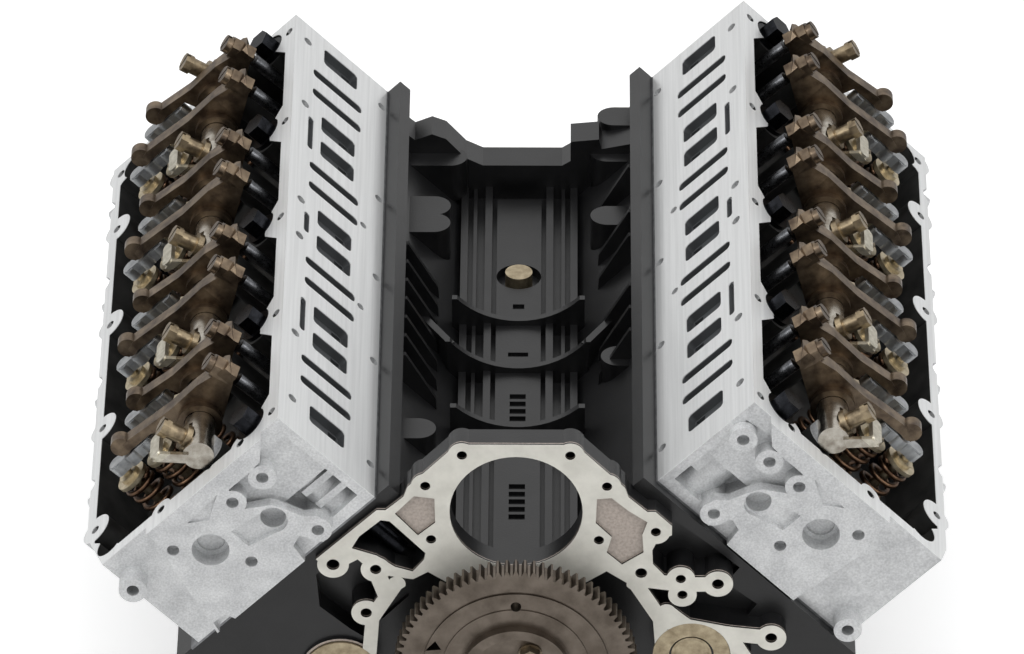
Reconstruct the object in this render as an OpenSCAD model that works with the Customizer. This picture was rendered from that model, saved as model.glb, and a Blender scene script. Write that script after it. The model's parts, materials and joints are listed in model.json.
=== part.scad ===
// Long block of a 90 degree V8 diesel with overhead valves.
// X is to the right seen from the front, Y runs to the rear and Z is up.
// Lengths are laid out from the block's front gasket face and the crankshaft's axis,
// and in_frame() then moves the origin to the crankshaft's rear flange face.

/* [Cylinders] */
// Bore of each cylinder
bore_d = 103; // [98:0.5:104]
// Stroke of the crankshaft
stroke = 99; // [90:0.5:100]
// Distance between neighbouring bores of one bank
bore_pitch = 120; // [119:0.5:124]
// Angle between the two banks
bank_angle = 90; // [90:1:90]
// How far the right bank lies behind the left one
bank_stagger = 20.5; // [20:0.1:21.5]
// Front face to the centre of the left bank's first bore
first_bore_y = 82.5; // [81:0.5:84]
// Crankshaft axis to the block's deck, along the bore
deck_h = 236; // [234:0.5:242]
// Rod length between its two centres
rod_l = 145; // [144:0.5:148]
// Radial gap between each piston and its bore
piston_gap = 0.4; // [0.3:0.05:0.6]

/* [Crankshaft] */
// Main journal diameter
main_d = 80; // [76:0.5:81]
// Crankpin diameter
pin_d = 63; // [60:0.5:64]
// Length of each main journal
main_len = 30; // [28:0.5:31]
// Length of each crankpin
pin_len = 42; // [41.5:0.1:42.5]
// Radius of the counterweights
counterweight_r = 74; // [70:0.5:74]
// Diameter of the nose that carries the damper
nose_d = 44; // [40:0.5:46]
// How far the nose reaches in front of the block
nose_reach = 78; // [60:1:90]
// Diameter of the rear flange
rear_flange_d = 106; // [102:0.5:108]
// Bolt circle of the flywheel
flywheel_pcd = 82; // [78:0.5:84]
// Hole for each flywheel bolt
flywheel_hole_d = 11; // [10:0.5:12]

/* [Bearings] */
// Wall of the main bearing shells
main_shell = 2.4; // [2:0.1:2.8]
// Wall of the rod bearing shells
rod_shell = 2; // [1.6:0.1:2.2]
// Gap round each turning journal
journal_gap = 0.3; // [0.25:0.05:0.35]
// Gap round each crankpin, wide because the rods swing over a short range only
pin_gap = 0.8; // [0.7:0.05:0.9]

/* [Camshaft] */
// Teeth of the crankshaft gear
crank_teeth = 42; // [42:1:42]
// Tooth module of the timing gears
gear_module = 1.9; // [1.88:0.01:1.94]
// Face width of the timing gears
gear_w = 14; // [12:0.5:16]
// Base circle diameter of the lobes
lobe_base_d = 32; // [30:0.5:33]
// Lift of each lobe
lobe_lift = 6.5; // [6:0.1:6.5]
// Outside diameter of the camshaft bearings
cam_bearing_d = 58; // [57:0.5:60]
// Diameter of the roller lifters
lifter_d = 19; // [18:0.2:20]

/* [Block] */
// Last main bearing's centre to the block's rear face
rear_len = 35.25; // [34:0.25:44]
// Half of the width at the sump rail
rail_half_w = 130; // [126:1:140]
// Crankshaft axis down to the sump rail
skirt_depth = 100; // [97:1:110]
// Thickness of the front gasket flange
flange_t = 18.4; // [17:0.2:19.4]
// Diameter of the pump drive hole in the front flange
pump_hole_d = 88.8; // [84:0.4:90]
// Height of the pump drive hole above the crankshaft
pump_hole_z = 231; // [230:0.5:232]
// Height of the valley floor plate above the crankshaft
valley_z = 184; // [182:0.5:185]
// Inboard edge of the deck, from the bore's centreline
deck_in = 116; // [114:0.5:118]
// Outboard edge of the deck, from the bore's centreline
deck_out = 88; // [86:0.5:92]
// Thickness of the crankshaft bulkheads
bulkhead_t = 26; // [24:0.5:27]

/* [Heads] */
// Thickness of the head gaskets
gasket_t = 1.5; // [1:0.1:2]
// Height of each head from its gasket to the cover rail
head_h = 90; // [88:0.5:93]
// Length of each head
head_len = 507; // [504:1:510]
// Front face to the front end of the left head
head_front_y = 2; // [0.5:0.5:3]
// Intake face, from the bore's centreline
head_in = 104; // [103:0.5:106]
// Outer face of the exhaust side, from the bore's centreline
head_out = 82; // [80:0.5:84]
// Depth of the open rocker box under the cover rail
rocker_box_depth = 46; // [42:0.5:48]

/* [Valve gear] */
// Rocker shaft diameter
shaft_d = 21; // [20:0.2:22]
// Rocker shaft height above the cover rail
shaft_rise = 10; // [9:0.5:11]
// Rocker shaft, from the bore's centreline
shaft_in = 38; // [37:0.5:39]
// Rocker arm, shaft to pushrod
arm_in = 39; // [38.5:0.1:39.5]
// Front rocker arm, shaft to valve bridge
arm_out_front = 54; // [53.5:0.1:54.5]
// Rear rocker arm, shaft to valve bridge
arm_out_rear = 41.5; // [41.3:0.1:42]
// Half of the distance between a cylinder's two rockers
rocker_half = 20.5; // [20:0.1:21]
// Half of the distance between a pair's two valves
valve_half = 14; // [13.8:0.1:14.1]
// Valve stem diameter
stem_d = 7; // [6.5:0.1:8]
// Valve head diameter
valve_d = 25; // [23:0.2:26]
// Valve spring outside diameter
spring_d = 24; // [22:0.2:24.2]
// Pushrod diameter
pushrod_d = 9; // [8:0.2:10]

/* [Hidden] */

$fn = 64;
eps = 0.01;                                 // overlap that makes cuts run through
cut = 1;                                    // how far a through cut passes each face
left = -1;
right = 1;
banks = [left, right];
row = [0 : 3];                              // the four cylinders of one bank

throw_r = stroke / 2;
crown_h = deck_h - throw_r - rod_l;         // pin to crown, level with the deck at the top
main_y0 = first_bore_y + bank_stagger / 2 - bore_pitch / 2;   // first main journal
block_len = main_y0 + 4 * bore_pitch + rear_len;
pin_y0 = main_y0 + bore_pitch / 2;
flange_face_y = block_len + 24;             // rear face of the crankshaft's flange
pin_angles = [0, 90, 270, 180];             // cross-plane crankpins, from straight up
rod_half = pin_len / 4 - 0.8;               // half of a rod's width at the big end
rod_offset = bank_stagger / 2;              // rod's middle from the crankpin's middle
main_bore_r = main_d / 2 + journal_gap + main_shell;
bay_r = throw_r + 51;                       // room for the turning rods
rail_inside = bay_r + 6;
seal_r = rear_flange_d / 2 + journal_gap;

cam_teeth = 2 * crank_teeth;
gear_gap = 0.05;                            // spread of the gear centres, for backlash
cam_z = gear_module * (crank_teeth + cam_teeth) / 2 + gear_gap;
gear_y0 = -27;                              // front face of both timing gears
gear_seat_r = nose_d / 2 + 1;               // the crankshaft gear sits behind the nose on a step
cam_bore_r = cam_bearing_d / 2 - 2;
cam_journal_r = cam_bore_r - journal_gap;
lobe_nose_r = 8;
lobe_w = 16;
lifter_u = cam_z * cos(bank_angle / 2);     // camshaft, along the bore
lifter_in = cam_z * sin(bank_angle / 2);    // camshaft, inboard of the bore's centreline
lifter_gap = 0.35;
lifter_foot = lifter_u + lobe_base_d / 2 + lobe_lift + 0.6;
lifter_l = 52;
lifter_top = lifter_foot + lifter_l + lobe_lift + 18;     // top of each lifter bore

gasket_top = deck_h + gasket_t;
rail_u = gasket_top + head_h;
box_floor = rail_u - rocker_box_depth;
shaft_u = rail_u + shaft_rise;
deck_t = 14;                                // deck rail of the block
jacket_out = 75;                            // outer wall of each bank
wall_in = 97;                               // valley side of each bank
front_wall = [5, 15];                       // block's front wall at the left and right bank
pushrod_in = shaft_in + arm_in;
pushrod_top = shaft_u + 4;
bridge_top = shaft_u + 14.6;
tip_r = 7;
tip_gap = 0.3;
bore_land = bore_d / 2;

// Lays out everything from the front face, then puts the origin on the rear flange
module in_frame() translate([0, -flange_face_y, 0]) children();

// Frame of one bank: x outboard, y to the rear, z up the bores, origin on the crankshaft's axis
module on_bank(side)
    translate([0, side > 0 ? bank_stagger : 0, 0])
        mirror([side > 0 ? 0 : 1, 0, 0])
            rotate([0, bank_angle / 2, 0]) children();

function bore_y(i) = first_bore_y + bore_pitch * i;
function main_y(k) = main_y0 + bore_pitch * k;
function pin_y(k) = pin_y0 + bore_pitch * k;

// A profile drawn in x and z, made solid from y0 to y1
module along_y(y0, y1) translate([0, y1, 0]) rotate([90, 0, 0]) linear_extrude(y1 - y0) children();
module rod_y(r, y0, y1) translate([0, y0, 0]) rotate([-90, 0, 0]) cylinder(r = r, h = y1 - y0);
module ring_y(r_out, r_in, y0, y1) difference() {
    rod_y(r_out, y0, y1);
    rod_y(r_in, y0 - cut, y1 + cut);
}
// A flat bar between two points, its round ends a hair wider than its shank
module bar(a, b, w) {
    d = b - a;
    translate(a) rotate(atan2(d[1], d[0])) translate([0, 0.2 - w / 2]) square([norm(d), w - 0.4]);
    translate(a) circle(d = w);
    translate(b) circle(d = w);
}
module rounded(size, r) {
    translate([r, 0]) square([size[0] - 2 * r, size[1]]);
    translate([0, r]) square([size[0], size[1] - 2 * r]);
    for (x = [r, size[0] - r], y = [r, size[1] - r]) translate([x, y]) circle(r);
}
module hex_bolt(head_d, head_h, washer_d, washer_h, shank_d, shank_l) {
    translate([0, 0, washer_h]) cylinder(d = head_d / cos(30), h = head_h, $fn = 6);
    cylinder(d = washer_d, h = washer_h + eps);
    translate([0, 0, -shank_l]) cylinder(d = shank_d, h = shank_l + eps);
}

// Block

// Cross-section of one bank, outboard to the right
module bank_section() polygon([
    [-wall_in, 150], [-wall_in, deck_h - deck_t], [-deck_in, deck_h - deck_t + 4], [-deck_in, deck_h],
    [deck_out, deck_h], [deck_out, deck_h - deck_t], [jacket_out, deck_h - deck_t - 8],
    [jacket_out, 98], [30, 60], [-60, 110]
]);
valley_half = 46;                           // half of the valley floor's width
skirt_half = rail_half_w - 12;
module core_half(top) polygon([
    [0, top], [valley_half, top], [70, 150], [130, 60], [skirt_half, 12],
    [skirt_half, 12 - skirt_depth], [rail_half_w, 12 - skirt_depth], [rail_half_w, -skirt_depth],
    [0, -skirt_depth]
]);

// Bolt bosses of the front gasket face, each as place and hole radius
front_bosses = [
    [[36, 276.5], 3.4], [[-36, 276.5], 3.4], [[60.5, 251.7], 3.4], [[-60.5, 251.7], 3.4],
    [[55.3, 208.3], 3.4], [[-56.8, 208.5], 3.4], [[93.3, 215], 3.4], [[83.7, 181.6], 4],
    [[110.3, 176.8], 3.4], [[111.5, 163.9], 3.4], [[135.2, 172.7], 4], [[171.5, 128.6], 4],
    [[-122.5, 187.6], 4.4], [[-94, 183.8], 3.8], [[-100.6, 148.2], 3.8],
    [[-104, 62], 3.8], [[104, 62], 3.8], [[-112, -8], 3.8], [[112, -8], 3.8],
    [[-112, -78], 3.8], [[112, -78], 3.8]
];
plug_places = [[118, 114], [-118, 97]];
plug_r = 13.6;
plug_ring_r = 26;
web_w = 12;

// Outline of the machined front face
module front_web() {
    difference() {
        polygon([
            [-39.5, 285], [39.5, 285], [72.5, 250.7], [75, 243], [87.5, 231.2], [93, 231.2],
            [104, 220], [104, 212.5], [94, 207], [91, 200], [91.5, 189], [99, 180],
            [82, 168], [60.6, 183], [47, 174], [-47, 174], [-59, 182], [-69, 176],
            [-94, 180], [-106, 192], [-124, 181], [-134, 192], [-93, 232], [-87, 232],
            [-75, 243], [-72.5, 250.7]
        ]);
        front_windows();
    }
    for (s = [1, -1]) {
        bar([s * 80, 172], [s * 95, 146], web_w);
        bar([s * 95, 146], [s * 99, 100], web_w);
        bar([s * 99, 100], [s * 104, 62], web_w);
        bar([s * 104, 62], [s * 112, -8], web_w);
        bar([s * 112, -8], [s * 112, 6 - skirt_depth], web_w);
    }
    bar([84, 176], [112, 172], web_w);
    bar([110, 172], [135.2, 172.7], web_w);
    bar([101, 150], [112, 140], web_w);
    bar([106, 140], [142, 132], web_w);
    bar([142, 132], [171.5, 128.6], web_w);
    bar([142, 132], [152.5, 113], web_w);
    bar([-94, 183.8], [-86, 160], web_w);
    bar([-90, 152], [-100.6, 148.2], web_w);
    for (b = front_bosses) translate(b[0]) circle(b[1] + 6.2);
}
module front_windows() polygon([
    [-110, 201], [-104.8, 210.7], [-90.3, 224], [-84.3, 223], [-60.6, 197.3], [-61.5, 192],
    [-69.2, 182.2], [-81.2, 186], [-93.1, 195]
]);
// Shallow cast recesses in the face, left and right of the pump hole
module front_recesses() {
    polygon([[-80.9, 229.2], [-68, 243.5], [-54.4, 241.5], [-54, 222], [-65.6, 211.7]]);
    polygon([
        [53.8, 241.5], [63.6, 242.5], [74.8, 232.2], [87.6, 223], [84.3, 212.7], [85.2, 198.3],
        [70.8, 188.4], [60.5, 198.3], [63.8, 210.7], [53.2, 222]
    ]);
}
// Sunken areas of the front wall, outside and inside the machined face
front_pockets = [
    [[99, 160], [86, 190], [92, 206], [104, 216], [128, 196], [150, 176], [140, 162]],
    [[100, 136], [112, 156], [140, 164], [162, 146], [150, 128]],
    [[-72, 150], [-88, 190], [-112, 196], [-134, 176], [-132, 150], [-112, 132], [-98, 122]]
];
pocket_depth = 22;
module gear_room() polygon([
    [-59, 182], [-47, 174], [47, 174], [60.6, 183], [77, 168], [92, 142], [95, 100], [100, 62],
    [106, -8], [106, 12 - skirt_depth], [-106, 12 - skirt_depth], [-106, -8], [-100, 62],
    [-95, 100], [-92, 142], [-77, 168]
]);

// Lugs in the valley: x, y, top, length to the wall
valley_lugs = [
    [-49, 466, 214], [-60, 402, 214], [-60, 380, 214], [-67, 124, 214],
    [67, 504, 224], [62, 472, 214], [62, 390, 214], [69, 213, 214]
];
lug_r = 12;
lug_t = 30;
lug_hole_r = 5.6;
module valley_lug(p) {
    s = sign(p[0]);
    x_wall = 88 - (232 - p[2]) * 0.6;
    translate([p[0], p[1], p[2] - lug_t]) cylinder(r = lug_r, h = lug_t);
    translate([s > 0 ? p[0] : -x_wall, p[1] - lug_r, p[2] - lug_t])
        cube([x_wall - abs(p[0]), 2 * lug_r, lug_t]);
}
// Long ribs of the valley floor: x, width, height over the floor
floor_ribs = [[21.5, 5, 14], [31, 2.5, 12], [38.5, 5, 13]];
floor_drop = 12;                            // rib troughs below the centre plate
plate_half = 15.6;
hoops = [[295, 46, 22, 5], [236, 50, 26, 5], [164, 46, 20, 5]];  // y, half width, rise, thickness
gusset_rows = [
    [left, 178, 7, 23], [right, 209, 3, 28], [right, 328, 2, 30], [right, 416, 1, 20]
];                                          // side, first y, count, spacing
valley_y0 = flange_t;
rear_wall_y = 470;                          // wall that closes the valley
rear_wall_t = 24;
valley_y1 = rear_wall_y;
rear_top = valley_z - 24;                   // top of the block behind the wall
bank_end = 510;                             // rear end of each bank, from its own front
module rear_wall() along_y(rear_wall_y, rear_wall_y + rear_wall_t) polygon([
    [-95, rear_top - 6], [-95, 232], [-84, 234], [-74, 225], [-62, 230], [-52, 226], [-38, 210], [-26, 204],
    [30, 204], [36, 208], [36, 224], [56, 226], [58, 218], [95, 226], [95, rear_top - 6]
]);

// Cross rib of the valley, hollowed to a U
module hoop(p) {
    r = (p[1] * p[1] + p[2] * p[2]) / (2 * p[2]);
    along_y(p[0], p[0] + p[3]) difference() {
        polygon([
            [-p[1], valley_z + p[2]], [-valley_half, valley_z - floor_drop - eps],
            [valley_half, valley_z - floor_drop - eps], [p[1], valley_z + p[2]]
        ]);
        translate([0, valley_z + 4 + r]) circle(r, $fn = 96);
    }
}
module valley_detail() {
    translate([-plate_half, valley_y0 - eps, valley_z - floor_drop - eps])
        cube([2 * plate_half, valley_y1 - valley_y0 - 14, floor_drop]);
    for (s = [1, -1], r = floor_ribs)
        translate([s * r[0] - r[1] / 2, valley_y0 - eps, valley_z - floor_drop - eps])
            cube([r[1], valley_y1 - valley_y0 + 2 * eps, r[2]]);
    for (h = hoops) hoop(h);
    rear_wall();
    for (p = valley_lugs) valley_lug(p);
    for (g = gusset_rows, n = [0 : g[2] - 1])
        on_bank(g[0]) translate([0, g[1] + n * g[3] - (g[0] > 0 ? bank_stagger : 0), 0])
            along_y(0, 4) polygon([
                [1 - wall_in, deck_h - 62], [-wall_in - 6, deck_h - 54], [-wall_in - 17, deck_h - deck_t],
                [-wall_in - 9, deck_h - deck_t + 6], [1 - wall_in, deck_h - deck_t + 4]
            ]);
    // Low ridges that climb back along both walls from the middle hoop
    for (s = [1, -1]) mirror([s > 0 ? 0 : 1, 0, 0]) translate([hoops[1][1] - 2, hoops[1][0], valley_z - 14])
        rotate(60) cube([68, 5, 38]);
}
valley_boss_y = 357;
// Slots in the centre plate: y, half width, half length
plate_slots = concat([[319, 4, 3], [259, 7, 2.6]], [for (n = [0 : 3]) [180 + 9 * n, 5.5, 3]],
    [for (n = [0 : 4]) [62 + 9 * n, 5.5, 3]]);
module valley_boss_cut() {
    translate([0, valley_boss_y, valley_z - 7]) cylinder(r = 15.6, h = 20);
    for (p = plate_slots) translate([-p[1], p[0] - p[2], valley_z - 3]) cube([2 * p[1], 2 * p[2], 6]);
}

// Rear wall with the gearbox flange
bell_points = [[150, -60], [178, 60], [156, 136]];
module rear_flange() {
    difference() {
        polygon([
            [-140, -skirt_depth], [140, -skirt_depth], [165, -50], [192, 60], [172, 146], [116, rear_top + 4],
            [-116, rear_top + 4], [-172, 146], [-192, 60], [-165, -50]
        ]);
        for (s = [1, -1], p = bell_points) translate([s * p[0], p[1]]) circle(6.5);
    }
}

module crank_room() {
    for (k = row) rod_y(bay_r, main_y(k) + bulkhead_t / 2, main_y(k + 1) - bulkhead_t / 2);
    translate([-rail_inside, main_y0 - bulkhead_t / 2, -skirt_depth - cut])
        cube([2 * rail_inside, bore_pitch * 4 + bulkhead_t, skirt_depth + cut]);
}

module lifter_bore(i, half)
    translate([-lifter_in, bore_y(i) + half, lifter_u])
        cylinder(d = lifter_d + 2 * lifter_gap, h = lifter_top - lifter_u);
pushrod_hole_r = 8;
pushrod_mid = (lifter_in + pushrod_in) / 2 + 1;
module pushrod_hole(i, half)
    translate([-pushrod_mid, bore_y(i) + half, lifter_top - 10])
        cylinder(r = pushrod_hole_r, h = deck_h - lifter_top + 11);

module cylinder_block() in_frame() color("#1d1d1f") difference() {
    union() {
        for (s = banks) {
            on_bank(s) along_y(front_wall[s > 0 ? 1 : 0] - (s > 0 ? bank_stagger : 0), bank_end)
                bank_section();
            mirror([s > 0 ? 0 : 1, 0, 0]) {
                along_y(front_wall[s > 0 ? 1 : 0] + 1, rear_wall_y + rear_wall_t - 1) core_half(valley_z - 8);
                along_y(rear_wall_y, block_len - 1) core_half(rear_top);
            }
        }
        along_y(0, flange_t) front_web();
        for (p = plug_places) translate([p[0], 0, p[1]]) rod_y(plug_ring_r + 2, 2.4, flange_t);
        along_y(block_len - 24, block_len) rear_flange();
        valley_detail();
    }
    along_y(-cut, flange_t) gear_room();
    along_y(-cut, 2.2) front_recesses();
    along_y(3, pocket_depth + 8) front_windows();
    for (p = front_pockets) along_y(3, pocket_depth) difference() {
        polygon(p);
        front_web();
    }
    translate([0, 0, pump_hole_z]) rod_y(pump_hole_d / 2, -cut, flange_t + cut);
    for (b = front_bosses) translate([b[0][0], 0, b[0][1]]) rod_y(b[1], -cut, 14);
    for (p = plug_places) translate([p[0], 0, p[1]]) {
        rod_y(plug_r + 0.02, -cut, 8);
        rod_y(plug_ring_r + 0.4, -cut, 2.8);
    }
    valley_boss_cut();
    crank_room();
    rod_y(main_bore_r, main_y0 - bulkhead_t, main_y(4) + bulkhead_t);
    rod_y(nose_d / 2 + 26, -cut, main_y0 - bulkhead_t / 2 + eps);
    rod_y(seal_r + 10, main_y(4) + bulkhead_t / 2 - eps, block_len + cut);
    translate([0, 0, cam_z]) rod_y(cam_bearing_d / 2, 8, main_y(4) + bulkhead_t / 2);
    for (s = banks) on_bank(s) {
        for (i = row) {
            translate([0, bore_y(i), 40]) cylinder(r = bore_land, h = deck_h, $fn = 96);
            for (h = [rocker_half, -rocker_half]) {
                lifter_bore(i, h);
                pushrod_hole(i, h);
            }
        }
        for (y = bolt_rows, x = bolt_columns)
            translate([x, y, deck_h - 60]) cylinder(r = bolt_shank / 2 + 0.3, h = 61);
    }
    for (k = [0 : 4], x = cap_bolt_x)
        translate([x, main_y(k), -cut]) cylinder(d = cap_bolt_d, h = 46);
}

// Head bolts stand in two rows, five to a row, between and beyond the bores
bolt_rows = [for (n = [0 : 4]) first_bore_y + bore_pitch * (n - 0.5) - (n == 4 ? 10 : 0)];
bolt_in = 77;
bolt_out = 58;
bolt_columns = [-bolt_in, bolt_out];
bolt_shank = 12;
bolt_seat_in = rail_u - 4;
bolt_seat_out = box_floor + 6;

cap_bolt_x = [-57, 57];
cap_bolt_d = 14;
cap_half = 76;
cap_depth = 72;

module main_caps() in_frame() color("#3b3b3d") for (k = [0 : 4]) difference() {
    along_y(main_y(k) - bulkhead_t / 2 + 1, main_y(k) + bulkhead_t / 2 - 1) polygon([
        [-cap_half, 0], [cap_half, 0], [cap_half, -50], [cap_half - 12, -cap_depth],
        [12 - cap_half, -cap_depth], [-cap_half, -50]
    ]);
    rod_y(main_bore_r, 0, block_len);
    for (x = cap_bolt_x) translate([x, main_y(k), -cap_depth - cut])
        cylinder(d = cap_bolt_d + 0.6, h = cap_depth + 2 * cut);
}
module main_cap_bolts() in_frame() color("#4a4540") for (k = [0 : 4], x = cap_bolt_x)
    translate([x, main_y(k), -cap_depth]) rotate([180, 0, 0])
        hex_bolt(20, 11, 26, 2.5, cap_bolt_d - 0.6, cap_depth + 40);

module core_plugs() in_frame() color("#c9bfa6") {
    for (p = plug_places) translate([p[0], 0, p[1]]) difference() {
        rod_y(plug_r, 1.5, 7.9);
        rod_y(plug_r - 2, 1, 4.5);
    }
    for (p = plug_places) translate([p[0], 0, p[1]]) ring_y(plug_ring_r, plug_r + 1.5, 0.6, 2.8);
    translate([0, valley_boss_y, valley_z - 7]) cylinder(r = 9.5, h = 11);
}

// Two half shells at each main journal
module main_bearings() in_frame() color("#9a9a9c") for (k = [0 : 4], s = [0, 1])
    intersection() {
        ring_y(main_bore_r, main_d / 2 + journal_gap, main_y(k) - 11, main_y(k) + 11);
        translate([-60, main_y(k) - 20, s > 0 ? 0 : -60]) cube([120, 40, 60]);
    }
module cam_bearings() in_frame() color("#9a9a9c") for (k = [0 : 4]) translate([0, 0, cam_z])
    ring_y(cam_bearing_d / 2, cam_bore_r, main_y(k) - 10, main_y(k) + 10);
module rear_seal() in_frame() color("#2b2b2b")
    ring_y(seal_r + 10, seal_r, block_len - 14, block_len - 2);

// Heads

head_gap_y = head_front_y;
rail_in = 9.5;                              // width of the cover rail, intake side
rail_out = 8;
port_floor = 45;

// Intake openings of each cylinder: y from the bore, width, low and high edge, depth
ports = [
    [-44.8, 19.5, 29, 61.5, 20], [-12.5, 9, 24, 71, 12], [12.5, 9, 24, 71, 12], [43.5, 19.5, 29, 61.5, 20]
];
// Bolt holes of the intake face: y from the head's front end, height over the gasket
upper_holes = [36, 115, 235, 280, 403, 485];
lower_holes = [34, 158, 261, 361, 481];
mid_holes = [210, 312];
wall_slots = [[125, 39], [246, 24], [352, 40]];
outer_rail_holes = [50, 172, 300, 422, 494];
inner_rail_holes = [14, 132, 252, 374, 491];

outer_mids = [111, 236, 361, 458];          // notches of the cover rail between its outboard holes
module head_section() polygon([
    [-head_in, gasket_top], [head_out - 12, gasket_top], [head_out - 2, gasket_top + 13],
    [head_out - 2, rail_u - 20], [head_out, rail_u - 14], [head_out, rail_u], [-head_in, rail_u]
]);
// Plan of the open rocker box, with the rail's bolt bosses standing into it
module box_plan() difference() {
    translate([-head_in + rail_in, head_gap_y + 9])
        square([head_in + head_out - rail_in - rail_out, head_len - 18]);
    for (y = inner_rail_holes) translate([-head_in + rail_in - 1, head_gap_y + y])
        polygon([[0, -25], [13, -9], [13, 9], [0, 25]]);
    for (y = outer_rail_holes) translate([head_out - 8, head_gap_y + y]) circle(13);
    for (x = end_rail_holes) translate([x, head_gap_y + 7]) circle(9);
    translate([head_out - rail_out, head_gap_y]) rotate(45) square(48, center = true);
    translate([head_out - rail_out, head_gap_y + head_len]) rotate(45) square(40, center = true);
}
end_rail_holes = [-68, 8];
// The intake openings are deep only below the floor of the rocker box
module port_cut(i, p) translate([-head_in - cut, bore_y(i) + p[0] - p[1] / 2, gasket_top])
    rotate([90, 0, 90]) {
        linear_extrude(6.5 + cut) translate([0, p[2]]) rounded([p[1], p[3] - p[2]], 3.5);
        linear_extrude(p[4] + cut) translate([1.5, p[2] + 1.5]) square([p[1] - 3, port_floor - 8 - p[2]]);
    }

pad_t = 8;                                  // machined pad stands this far off the head's end
boss_r = 9.5;
// Machined pad, from the bore's centreline and up from the gasket; its outboard edge differs by side
function pad_points(side) = concat([[-38, 0]], side > 0 ? [[26, 0], [32, 65], [26, 76], [26, head_h]] :
    [[29, 0], [31, 7], [42, 8], [44, 0], [46, 0], [22, 82], [22, head_h]], [
        [-88, head_h], [-74, 77], [-62, 76], [-43, 76], [-39, 58], [-54, 48], [-59, 38], [-63, 26],
        [-70, 20], [-71, 8], [-58, 2], [-55, 8], [-50, 17], [-41, 14]
    ]);
function pad_bosses(side) = concat([[-66, 67], [-37.5, 67], [-62, 11.4]], side > 0 ? [[-91, 67]] : []);
function lone_boss(side) = side > 0 ? [66.5, 11.6] : [58, 67];
module oblong_recess() {
    polygon([[-20, 35], [-20, 51.5], [-43, 48.2], [-46, 28.4]]);
    translate([-46.6, 38.2]) circle(10);
}
module head_end_pad(side) {
    along_y(head_gap_y - pad_t, head_gap_y + eps) difference() {
        union() {
            translate([0, gasket_top]) polygon(pad_points(side));
            for (p = pad_bosses(side)) translate(p + [0, gasket_top]) circle(boss_r);
        }
        for (p = concat(pad_bosses(side), [[-12.2, 24.7], [18.4, 68]]))
            translate(p + [0, gasket_top]) circle(4.2);
    }
    translate([lone_boss(side)[0], 0, gasket_top + lone_boss(side)[1]])
        ring_y(boss_r, 4.2, head_gap_y - 14, head_gap_y + eps);
}
// Cuts in the pad and behind it
module head_end_cuts() {
    along_y(head_gap_y - pad_t - cut, head_gap_y - pad_t + 4) translate([0, gasket_top]) oblong_recess();
    translate([-46.6, 0, gasket_top + 38.2]) rod_y(8.6, head_gap_y - pad_t, head_gap_y + 6);
    along_y(head_gap_y - pad_t - cut, head_gap_y - pad_t + 1.6) translate([0, gasket_top])
        polygon([[-34.5, 78.6], [-4, 76.6], [-16, 68]]);
    translate([0.3, 0, gasket_top + 50.7]) rod_y(12.7, head_gap_y - pad_t - 1, head_gap_y + 4.5);
    translate([0.3, 0, gasket_top + 50.7]) rod_y(9.5, head_gap_y, head_gap_y + 6.5);
}
module end_pocket(side) {
    difference() {
        along_y(-30, head_gap_y + 20) difference() {
            translate([0, gasket_top])
                polygon([[-head_in + 7, 9], [-73, 8], [-63, 14], [-52, 38], [-head_in + 7, 38]]);
            for (p = pad_bosses(side)) translate(p + [0, gasket_top]) circle(boss_r);
        }
        if (side > 0) {
            translate([-head_in, head_gap_y + 9, gasket_top + 20]) cube([26, 30, 30]);
        } else {
            for (u = [17, 30]) translate([-head_in, head_gap_y + 4, gasket_top + u]) cube([34, 30, 5]);
        }
    }
    along_y(-29, head_gap_y + 2.5) difference() {
        translate([0, gasket_top]) polygon([
            [-head_in + 7, 33], [-49, 33], [-40, 50], [-34, 60], [-40, 79], [-76, 79], [-head_in + 7, 76]
        ]);
        for (p = pad_bosses(side)) translate(p + [0, gasket_top]) circle(boss_r);
    }
}

module rocker_post(y) {
    translate([-shaft_in, y, box_floor - eps]) cylinder(r = 11.5, h = shaft_u - 5 - box_floor);
}
shaft_bolt_rows = [for (n = [0 : 4]) first_bore_y + bore_pitch * (n - 0.5) + (n == 0 ? 6 : n == 4 ? -17 : 0)];
valve_x = [[-shaft_in + arm_out_front, -rocker_half], [-shaft_in + arm_out_rear, rocker_half]];

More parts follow.
